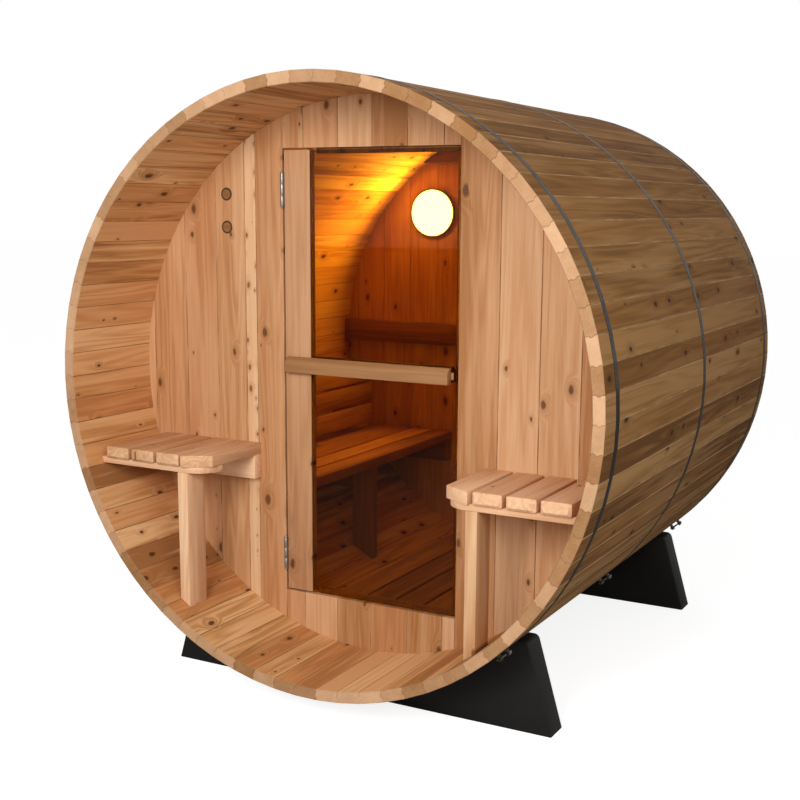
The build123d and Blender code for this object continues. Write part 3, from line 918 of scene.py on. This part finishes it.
@dataclass
class Joiner:
    """Cuts planks to size, eases their arrises and gives each its own tone."""

    dice: random.Random

    def plank(
            self, x: Pair, y: Pair, z: Pair, finish: Finish, arris: float = 0.003,
            fitted: bool = False, shape: Optional[Callable[[Piece], None]] = None) -> Piece:
        """Make one plank.

        Args:
            x: Where it starts and ends from left to right.
            y: Where it starts and ends from front to back.
            z: Where it starts and ends in height, counted from the barrel's axis.
            finish: Its finish.
            arris: How far its arrises are eased.
            fitted: Whether it is cut to the inside of the barrel.
            shape: What else is done to the block before its arrises are eased.

        Returns:
            The finished plank.
        """
        rise = Vector((0.0, 0.0, AXIS_HEIGHT))
        low, high = (Vector(corner) + rise for corner in zip(x, y, z))
        piece = start_block("plank", low, high)
        if fitted:
            fit_to_staves(piece)
        if shape is not None:
            shape(piece)
        ease_arrises(piece, arris)
        dress(piece, finish)
        give_tone(piece, self.dice)
        shade_smooth(piece)
        return piece


@dataclass
class Joinery:
    """A sub-assembly made of planks."""

    finishes: Finishes
    joiner: Joiner


@dataclass
class PorchSeat(Joinery):
    """A slatted seat on a rounded batten, a wall ledger and a post."""

    side: Side
    inner_edge: float = 0.412
    front: float = -0.8565
    top: float = -0.231
    slat_width: float = 0.089
    slat_gap: float = 0.013
    slat_count: int = 4
    slat_thickness: float = 0.038
    corner_cut: Pair = (0.087, 0.050)
    end_bevel: float = 0.008
    batten_thickness: float = 0.020
    batten_width: float = 0.089
    batten_inset: float = 0.016
    batten_corner: float = 0.080
    corner_segments: int = 12
    post_thickness: float = 0.038
    post_offset: float = 0.076
    ledger_height: float = 0.080
    ledger_thickness: float = 0.038

    def slat(self, index: int) -> Piece:
        """Make one slat; the first has its corner cut off, the others a bevelled front end."""

        def shape(piece: Piece) -> None:
            """Cut the corner, or bevel the front end."""
            across, back = self.corner_cut
            if index == 0:
                origin = Vector((self.side.value * self.inner_edge, self.front + back, AXIS_HEIGHT))
                cut_off(piece, origin, Vector((-self.side.value * back, -across, 0.0)))
            else:
                pick_edges(piece, lambda a, b: max(a.y, b.y) < self.front + NEAR)
                bevel_picked(piece, self.end_bevel, 1)

        near = self.inner_edge + index * (self.slat_width + self.slat_gap)
        return self.joiner.plank(
            self.side.span(near, near + self.slat_width), (self.front, PORCH_WALL_Y),
            (self.top - self.slat_thickness, self.top), self.finishes.slat, arris=0.004,
            shape=shape)

    def round_corner(self, piece: Piece) -> None:
        """Round the batten's free front corner."""
        reach = self.side.value * self.inner_edge
        face = self.front + self.batten_inset
        pick_edges(
            piece,
            lambda a, b: (
                abs(a.z - b.z) > UPRIGHT and max(a.y, b.y) < face + NEAR
                and abs(a.x - reach) < NEAR))
        bevel_picked(piece, self.batten_corner, self.corner_segments)

    def build(self) -> None:
        """Build the slats, the batten and ledger, and the post."""
        slats = [self.slat(index) for index in range(self.slat_count)]
        under = self.top - self.slat_thickness
        low = under - self.batten_thickness
        face = self.front + self.batten_inset
        wide, deep = self.side.span(
            self.inner_edge, BARREL_RADIUS), (face, face + self.batten_width)
        batten = self.joiner.plank(
            wide, deep, (low, under), self.finishes.bearer, arris=0.002, fitted=True,
            shape=self.round_corner)
        ledger = self.joiner.plank(
            wide, (PORCH_WALL_Y - self.ledger_thickness, PORCH_WALL_Y),
            (under - self.ledger_height, under), self.finishes.ledger, arris=0.002, fitted=True)
        start = self.inner_edge + self.post_offset
        post = self.joiner.plank(
            self.side.span(start, start + self.post_thickness), deep, (-BARREL_RADIUS, low),
            self.finishes.post, fitted=True)
        side = self.side.name.lower()
        for part, planks in (("slats", slats), ("bearers", [batten, ledger]), ("post", [post])):
            hand_over(
                planks, f"seat_{side}_{part}", "cabin", "cedar_seats", f"porch_seat_{side}_{part}")


@dataclass
class CabinBench(Joinery):
    """A bench along one side of the cabin, with its bearers, leg and backrest."""

    side: Side
    top: float = -0.395
    thickness: float = 0.038
    front: float = 0.360
    board_widths: tuple[float, ...] = (0.089, 0.089, 0.184)
    board_gap: float = 0.009
    end_gap: float = 0.006
    bearer_height: float = 0.089
    bearer_thickness: float = 0.038
    bearer_inset: float = 0.010
    leg_width: float = 0.089
    backrest_face: float = 0.705
    backrest_top: float = -0.108
    backrest_slats: int = 3
    backrest_height: float = 0.080
    backrest_thickness: float = 0.020
    backrest_gap: float = 0.010
    backrest_end_gap: float = 0.095
    upright_width: float = 0.038
    upright_inset: float = 0.120

    def boards(self) -> list[Piece]:
        """Make the seat's boards."""
        made = []
        near = self.front
        for width in self.board_widths:
            made.append(
                self.joiner.plank(
                    self.side.span(near, near + width), along_cabin(self.end_gap),
                    (self.top - self.thickness, self.top), self.finishes.bench, arris=0.005))
            near += width + self.board_gap
        return made

    def bearers(self) -> list[Piece]:
        """Make the bearer at each wall, and the middle one with its leg."""
        made = []
        under = self.top - self.thickness
        half = self.bearer_thickness / 2
        start = self.front + self.bearer_inset
        behind_leg = start + self.leg_width
        middle = (CABIN_FRONT_Y + CABIN_BACK_Y) / 2
        for y, near in (
                (CABIN_FRONT_Y + half, start), (middle, behind_leg), (CABIN_BACK_Y - half, start)):
            # The bench bearers get the dark rail cedar: painted shade under the bench.
            made.append(
                self.joiner.plank(
                    self.side.span(near, BARREL_RADIUS), about(y, self.bearer_thickness),
                    (under - self.bearer_height, under), self.finishes.rail_painted_shade, arris=0.002,
                    fitted=True))
        made.append(
            self.joiner.plank(
                self.side.span(start, behind_leg), about(middle, self.bearer_thickness),
                (-BARREL_RADIUS, under), self.finishes.shaded, fitted=True))
        return made

    def backrest(self) -> list[Piece]:
        """Make the backrest's slats."""
        made = []
        x = self.side.span(self.backrest_face, self.backrest_face + self.backrest_thickness)
        for index in range(self.backrest_slats):
            top = self.backrest_top - index * (self.backrest_height + self.backrest_gap)
            made.append(
                self.joiner.plank(
                    x, along_cabin(self.backrest_end_gap), (top - self.backrest_height, top),
                    self.finishes.backrest, arris=0.004))
        return made

    def uprights(self) -> list[Piece]:
        """Make the uprights between the backrest and the staves."""
        x = self.side.span(self.backrest_face + self.backrest_thickness, BARREL_RADIUS)
        pitch = self.backrest_height + self.backrest_gap
        height = self.backrest_slats * pitch - self.backrest_gap
        z = (self.backrest_top - height, self.backrest_top)
        return [
            self.joiner.plank(
                x, about(y, self.upright_width), z, self.finishes.upright, arris=0.002, fitted=True)
            for y in along_cabin(self.backrest_end_gap + self.upright_inset)]

    def build(self) -> None:
        """Build the bench."""
        side = self.side.name.lower()
        for part, planks in (
                ("boards", self.boards()), ("bearers", self.bearers()),
                ("backrest_slats", self.backrest()), ("backrest_uprights", self.uprights())):
            hand_over(
                planks, f"cabin_bench_{side}_{part}", "cabin", "cedar_interior",
                f"bench_{side}_{part}")


@dataclass
class CabinFloor(Joinery):
    """Floor boards on bearers that follow the barrel."""

    top: float = -0.800
    board_count: int = 5
    board_width: float = 0.102
    board_thickness: float = 0.020
    board_gap: float = 0.010
    end_gap: float = 0.015
    bearer_count: int = 3
    bearer_thickness: float = 0.038
    bearer_reach: float = 0.250

    def build(self) -> None:
        """Build the floor."""
        boards = []
        for index in range(self.board_count):
            x = (index - (self.board_count - 1) / 2) * (self.board_width + self.board_gap)
            boards.append(
                self.joiner.plank(
                    about(x, self.board_width), along_cabin(self.end_gap),
                    (self.top - self.board_thickness, self.top), self.finishes.floor, arris=0.004))
        hand_over(boards, "cabin_floor_boards", "cabin", "cedar_interior", "floor_boards")
        spacing = (CABIN_BACK_Y - CABIN_FRONT_Y) / self.bearer_count
        bearers = []
        for index in range(self.bearer_count):
            y = CABIN_FRONT_Y + (index + 0.5) * spacing
            # The floor bearers get the dark rail cedar: painted shade under the floor.
            bearers.append(
                self.joiner.plank(
                    (-self.bearer_reach, self.bearer_reach), about(y, self.bearer_thickness),
                    (-BARREL_RADIUS, self.top - self.board_thickness), self.finishes.rail_painted_shade,
                    arris=0.002, fitted=True))
        hand_over(bearers, "cabin_floor_bearers", "cabin", "cedar_interior", "floor_bearers")


@dataclass
class WallRails(Joinery):
    """The two rails across the inside of the rear wall."""

    height: float = 0.089
    thickness: float = 0.038
    bases: tuple[tuple[str, float], ...] = (("middle", -0.027), ("upper", 0.724))

    def build(self) -> None:
        """Build both rails."""
        for name, base in self.bases:
            # The rails get the dark rail cedar: painted shade.
            rail_painted_shade = self.joiner.plank(
                (-BARREL_RADIUS, BARREL_RADIUS), (CABIN_BACK_Y - self.thickness, CABIN_BACK_Y),
                (base, base + self.height), self.finishes.rail_painted_shade, arris=0.004, fitted=True)
            hand_over(
                [rail_painted_shade], f"cabin_rail_{name}", "cabin", "cedar_interior", f"rear_wall_rail_{name}")


@dataclass
class DoorStops(Joinery):
    """The strips in the doorway that the leaf closes towards."""

    jamb: float = 0.315
    head: float = 0.724
    width: float = 0.018
    start: float = -0.523
    left_end: float = -0.198
    joint: float = 0.001

    def build(self) -> None:
        """Build the three strips."""
        spans = [((self.jamb - self.width, self.jamb), (-self.head, self.head))]
        far = self.jamb - self.width - self.joint
        spans += [
            ((self.left_end, far), (base, base + self.width))
            for base in (self.head - self.width, -self.head)]
        strips = [
            self.joiner.plank(x, (self.start, CABIN_FRONT_Y), z, self.finishes.shaded, arris=0.0015)
            for x, z in spans]
        hand_over(strips, "doorway_stops", "cabin", "cedar_door", "door_stops")


@dataclass
class EasedCopy:
    """A CAD shape whose loose triangles are merged and whose edges are then eased."""

    dice: random.Random
    flat_degrees: float = 1.0
    sharp_degrees: float = 28.0

    def build(
            self, node: str, name: str, body: str, slot: str, finish: Finish, width: float) -> None:
        """Ease one CAD node.

        Args:
            node: The CAD node that gives the shape.
            name: The new piece's name.
            body: The body that it rides on.
            slot: Passed on to hand_over, which does not use it.
            finish: Its finish.
            width: How far its edges are eased.
        """
        piece = bpy.data.objects.new(name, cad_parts[node].data.copy())
        bpy.context.scene.collection.objects.link(piece)
        with editing(piece, everything=True):
            bpy.ops.mesh.remove_doubles(threshold=TOUCH)
            bpy.ops.mesh.dissolve_limited(angle_limit=math.radians(self.flat_degrees))
        ease_arrises(piece, width, sharper_than=self.sharp_degrees)
        dress(piece, finish)
        give_tone(piece, self.dice)
        shade_smooth(piece)
        hand_over([piece], name, body, slot, node)


@dataclass
class Hinges:
    """Two butt hinges: knuckles round a pin, with a leaf on the wall and one on the stile."""

    finishes: Finishes
    x: float = -0.312
    y: float = -0.549
    offset: float = 0.595
    length: float = 0.106
    knuckles: int = 3
    knuckle_gap: float = 0.0005
    radius: float = 0.006
    knuckle_sides: int = 28
    knuckle_ease: float = 0.0008
    leaf_ease: float = 0.0006
    tip_radius: float = 0.0045
    tip_height: float = 0.004
    tip_sides: int = 20
    tip_ease: float = 0.0018
    leaf_thickness: float = 0.002
    leaf_back: float = -0.5145
    wall_leaf: float = -0.315
    door_leaf: float = -0.311

    def leaf(self, left: float, base: float, owned: range) -> list[Piece]:
        """Make one leaf with its knuckles.

        Args:
            left: The leaf's left face.
            base: The height of its lower end.
            owned: Which of the knuckles belong to it.

        Returns:
            The leaf's parts.
        """
        top = base + self.length
        plate = start_block(
            "leaf", Vector((left, PORCH_WALL_Y, base)),
            Vector((left + self.leaf_thickness, self.leaf_back, top)))
        ease_arrises(plate, self.leaf_ease)
        parts = [plate]
        pitch = self.length / self.knuckles
        for index in owned:
            low = base + index * pitch + self.knuckle_gap / 2
            high = low + pitch - self.knuckle_gap
            ends = [Vector((self.x, self.y, z)) for z in (low, high)]
            knuckle = start_rod("knuckle", self.radius, *ends, self.knuckle_sides)
            ease_arrises(knuckle, self.knuckle_ease)
            web = start_block(
                "web", Vector((left, self.y, low)),
                Vector((left + self.leaf_thickness, PORCH_WALL_Y, high)))
            parts += [knuckle, web]
        return parts

    def tip(self, z: float, up: int) -> Piece:
        """Make the rounded tip of a pin."""
        end = Vector((self.x, self.y, z))
        rise = Vector((0.0, 0.0, up * self.tip_height))
        piece = start_rod("pin_tip", self.tip_radius, end, end + rise, self.tip_sides)
        ease_arrises(piece, self.tip_ease, 3)
        return piece

    def build(self) -> None:
        """Build the wall's leaves with the pins, and the door's leaves."""
        wall: list[Piece] = []
        door: list[Piece] = []
        for sign in (1, -1):
            base = AXIS_HEIGHT + sign * self.offset - self.length / 2
            wall += self.leaf(self.wall_leaf, base, range(0, self.knuckles, 2))
            wall += [self.tip(base + self.length, 1), self.tip(base, -1)]
            door += self.leaf(self.door_leaf, base, range(1, self.knuckles, 2))
        for parts, name, body, node in (
                (wall, "hinges_wall", "cabin", "hinge_leaves_wall"),
                (door, "hinges_door", "door", "hinge_leaves_door")):
            for part in parts:
                dress(part, self.finishes.bright)
                shade_smooth(part)
            hand_over(parts, name, body, "hinge_metal", node)


@dataclass
class Tensioners:
    """A rod with washers and chamfered nuts through each hoop's lugs."""

    finishes: Finishes
    places: tuple[float, ...] = (-0.8195, 0.0175, 0.8545)
    angle: float = 139.0
    height: float = 0.9264
    reach: float = 0.0185
    overhang: float = 0.009
    rod_radius: float = 0.003
    rod_sides: int = 20
    rod_ease: float = 0.0008
    washer_radius: float = 0.0075
    washer_height: float = 0.001
    washer_sides: int = 24
    nut_radius: float = 0.00575
    nut_height: float = 0.005
    nut_sides: int = 6
    nut_ease: float = 0.0007

    def pattern(self, y: float) -> list[Piece]:
        """Model the parts of one tensioner at the top of the barrel."""
        middle = Vector((0.0, y, AXIS_HEIGHT + self.height))
        end = Vector((self.reach + self.overhang, 0.0, 0.0))
        rod = start_rod("rod", self.rod_radius, middle - end, middle + end, self.rod_sides)
        ease_arrises(rod, self.rod_ease)
        parts = [rod]
        for sign in (-1, 1):
            out = Vector((sign, 0.0, 0.0))
            face = middle + out * self.reach
            seat = face + out * self.washer_height
            washer = start_rod("washer", self.washer_radius, face, seat, self.washer_sides)
            end = face + out * (self.washer_height + self.nut_height)
            nut = start_rod("nut", self.nut_radius, seat, end, self.nut_sides)
            ease_arrises(nut, self.nut_ease)
            parts += [washer, nut]
        return parts

    def build(self) -> None:
        """Build the tensioners of all three hoops."""
        parts = [part for y in self.places for part in self.pattern(y)]
        for part in parts:
            part.data.transform(about_barrel(math.radians(self.angle)))
            dress(part, self.finishes.bright)
            shade_smooth(part)
        hand_over(parts, "hoop_bolts", "cabin", "hoop_steel", "hoop_tensioners")


@dataclass
class WallLamp:
    """A round lamp on the rear wall: a dark rim and a shallow domed cover."""

    finishes: Finishes
    x: float = -0.464
    height: float = 0.521
    rim_radius: float = 0.100
    rim_depth: float = 0.012
    cover_radius: float = 0.093
    cover_side: float = 0.006
    groove: float = 0.001
    groove_depth: float = 0.002
    rim_ease: float = 0.0004
    sides: int = 96
    dome: tuple[Pair, ...] = ((0.012, 0.004), (0.022, 0.0025), (0.026, 0.0012))

    def build(self) -> None:
        """Build the rim and the cover."""
        wall = Vector((self.x, CABIN_BACK_Y, AXIS_HEIGHT + self.height))
        face = wall - Vector((0.0, self.rim_depth, 0.0))
        rim = start_rod("rim", self.rim_radius, wall, face, self.sides)
        ring = self.rim_radius - self.cover_radius - self.groove
        inset_front(rim, ((ring, 0.0), (self.groove, -self.groove_depth)))
        ease_arrises(rim, self.rim_ease)
        dress(rim, self.finishes.rim)
        shade_smooth(rim)
        hand_over([rim], "lamp_ring", "cabin", "lamp_rim", "lamp_rim")
        front = face - Vector((0.0, self.cover_side, 0.0))
        cover = start_rod("cover", self.cover_radius, face, front, self.sides)
        inset_front(cover, self.dome)
        dress(cover, self.finishes.opal)
        shade_smooth(cover, 60.0)
        hand_over([cover], "lamp_dome", "cabin", "lamp_opal", "lamp_cover")


@dataclass
class PlainNodes:
    """CAD nodes whose shape is right as it is, and that only get their finish."""

    finishes: Finishes

    def build(self) -> None:
        """Give each node its finish."""
        for node, finish in (
                ("hoop_front", self.finishes.hoop), ("hoop_middle", self.finishes.hoop),
                ("hoop_rear", self.finishes.hoop), ("door_glass", self.finishes.glass)):
            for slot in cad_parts[node].material_slots:
                slot.material = finish
            log.info("%s: finished as it is", node)


# ---------------------------------------------------------------- camera and light


@dataclass(frozen=True)
class PhotoCamera:
    """Where the camera stands, how it is turned and how long its lens is."""

    place: Triple = (1.94338, -3.86485, 1.53896)
    yaw: float = 0.492951
    pitch: float = 0.179043
    roll: float = 0.007315
    sensor_mm: float = 36.0
    frame_px: float = 800.0
    focal_px: float = 1235.247
    centre_px: tuple[float, float] = (412.102, 431.185)

    def build(self) -> None:
        """Make the camera and give it to the scene."""
        forward = Vector(
            (
                -math.sin(self.yaw) * math.cos(self.pitch),
                math.cos(self.yaw) * math.cos(self.pitch), -math.sin(self.pitch)))
        level = Vector((math.cos(self.yaw), math.sin(self.yaw), 0.0))
        up = level.cross(forward)
        right = math.cos(self.roll) * level + math.sin(self.roll) * up
        top = math.cos(self.roll) * up - math.sin(self.roll) * level
        lens = bpy.data.cameras.new("photo_camera")
        lens.sensor_fit = "HORIZONTAL"
        lens.sensor_width = self.sensor_mm
        lens.lens = self.focal_px * lens.sensor_width / self.frame_px
        lens.shift_x = 0.5 - self.centre_px[0] / self.frame_px
        lens.shift_y = self.centre_px[1] / self.frame_px - 0.5
        camera = bpy.data.objects.new("photo_camera", lens)
        bpy.context.scene.collection.objects.link(camera)
        turn = Matrix((right, top, -forward)).transposed().to_4x4()
        camera.matrix_world = Matrix.Translation(Vector(self.place)) @ turn
        bpy.context.scene.camera = camera


@dataclass
class Studio:
    """A white floor that keeps its shadow, a soft key light, a side light and an even fill."""

    aim: Triple = (0.0, 0.0, 0.9)
    fill: float = 0.30
    key_place: Triple = (0.55, -4.3, 2.35)
    key_size: float = 1.5
    key_power: float = 127.0
    side_place: Triple = (2.7, -2.9, 2.2)
    side_size: float = 1.6
    side_power: float = 36.0
    lamp_power: float = 9.0
    lamp_size: float = 0.17
    lamp_colour: Triple = (1.0, 0.7, 0.22)
    lamp_step: Triple = (0.0, -0.03, 0.0)
    floor_size: float = 80.0
    floor_glow: float = 0.84
    floor_shade: float = 0.5

    def floor(self) -> None:
        """Lay the floor: its glow is for rays that show it, its shade takes the shadow."""
        choose_only(None)
        bpy.ops.mesh.primitive_plane_add(size=self.floor_size)
        floor = bpy.context.active_object
        floor.name = "studio_floor"
        paper = Recipe("studio_paper")
        rays = paper.add("ShaderNodeLightPath")
        glow = paper.calc("MULTIPLY", rays.outputs["Is Camera Ray"], self.floor_glow)
        paper.show(
            Base_Color=(self.floor_shade,) * 3 + (1.0,), Roughness=1.0, Specular_IOR_Level=0.0,
            Emission_Color=WHITE, Emission_Strength=glow)
        dress(floor, paper.finish)

    def world(self) -> None:
        """Make a world that looks white and gives an even fill."""
        world = bpy.data.worlds.new("studio")
        bpy.context.scene.world = world
        world.use_nodes = True
        sky = Nodes(world.node_tree)
        rays = sky.add("ShaderNodeLightPath").outputs
        seen = sky.calc("MAXIMUM", rays["Is Camera Ray"], rays["Is Glossy Ray"])
        back = sky.tree.nodes["Background"]
        sky.feed(back.inputs["Color"], WHITE)
        sky.feed(back.inputs["Strength"], sky.remap(seen, 0.0, 1.0, self.fill, 1.0))

    def hang(self, name: str, place: Vector, aim: Vector, **settings: object) -> Piece:
        """Hang one flat light.

        Args:
            name: Its name.
            place: Where it hangs.
            aim: The point that it faces.
            settings: Its power, size and colour.

        Returns:
            The light.
        """
        data = bpy.data.lights.new(name, "AREA")
        for key, value in settings.items():
            setattr(data, key, value)
        light = bpy.data.objects.new(name, data)
        light.location = place
        light.rotation_euler = (aim - place).to_track_quat("-Z", "Y").to_euler()
        bpy.context.scene.collection.objects.link(light)
        return light

    def build(self) -> None:
        """Build the floor, the world and the lights."""
        self.floor()
        self.world()
        for name, place, size, power in (
                ("key_light", self.key_place, self.key_size, self.key_power),
                ("side_light", self.side_place, self.side_size, self.side_power)):
            self.hang(name, Vector(place), Vector(self.aim), size=size, energy=power)
        low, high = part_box("lamp_cover")
        place = (low + high) / 2 + Vector(self.lamp_step)
        lamp = self.hang(
            "lamp_light", place, place - Vector((0.0, 1.0, 0.0)), shape="DISK", size=self.lamp_size,
            energy=self.lamp_power, color=self.lamp_colour)
        lamp.visible_camera = lamp.visible_transmission = lamp.visible_glossy = False
        bpy.context.scene.view_settings.view_transform = "Standard"


def main() -> None:
    """Build the sauna's looks, the studio and the camera."""
    logging.basicConfig(level=logging.INFO, format="%(message)s")
    finishes = Finishes()
    joiner = Joiner(random.Random(47))
    Barrel(finishes).build()
    EndWalls(finishes).build()
    for side in Side:
        PorchSeat(finishes, joiner, side).build()
        CabinBench(finishes, joiner, side).build()
    CabinFloor(finishes, joiner).build()
    WallRails(finishes, joiner).build()
    DoorStops(finishes, joiner).build()
    eased = EasedCopy(random.Random(5))
    eased.build("door_stile", "door_leaf_stile", "door", "cedar_door", finishes.stile, 0.002)
    for face in ("outer", "inner"):
        eased.build(
            f"door_handle_{face}", f"door_bar_{face}", "door", "cedar_door", finishes.bar, 0.0015)
    for end in ("front", "rear"):
        eased.build(
            f"cradle_{end}", f"cradle_board_{end}", "cabin", "cradle_black", finishes.black, 0.004)
    Hinges(finishes).build()
    Tensioners(finishes).build()
    WallLamp(finishes).build()
    PlainNodes(finishes).build()
    Studio().build()
    PhotoCamera().build()
    choose_only(None)


if __name__ == "__main__":
    main()
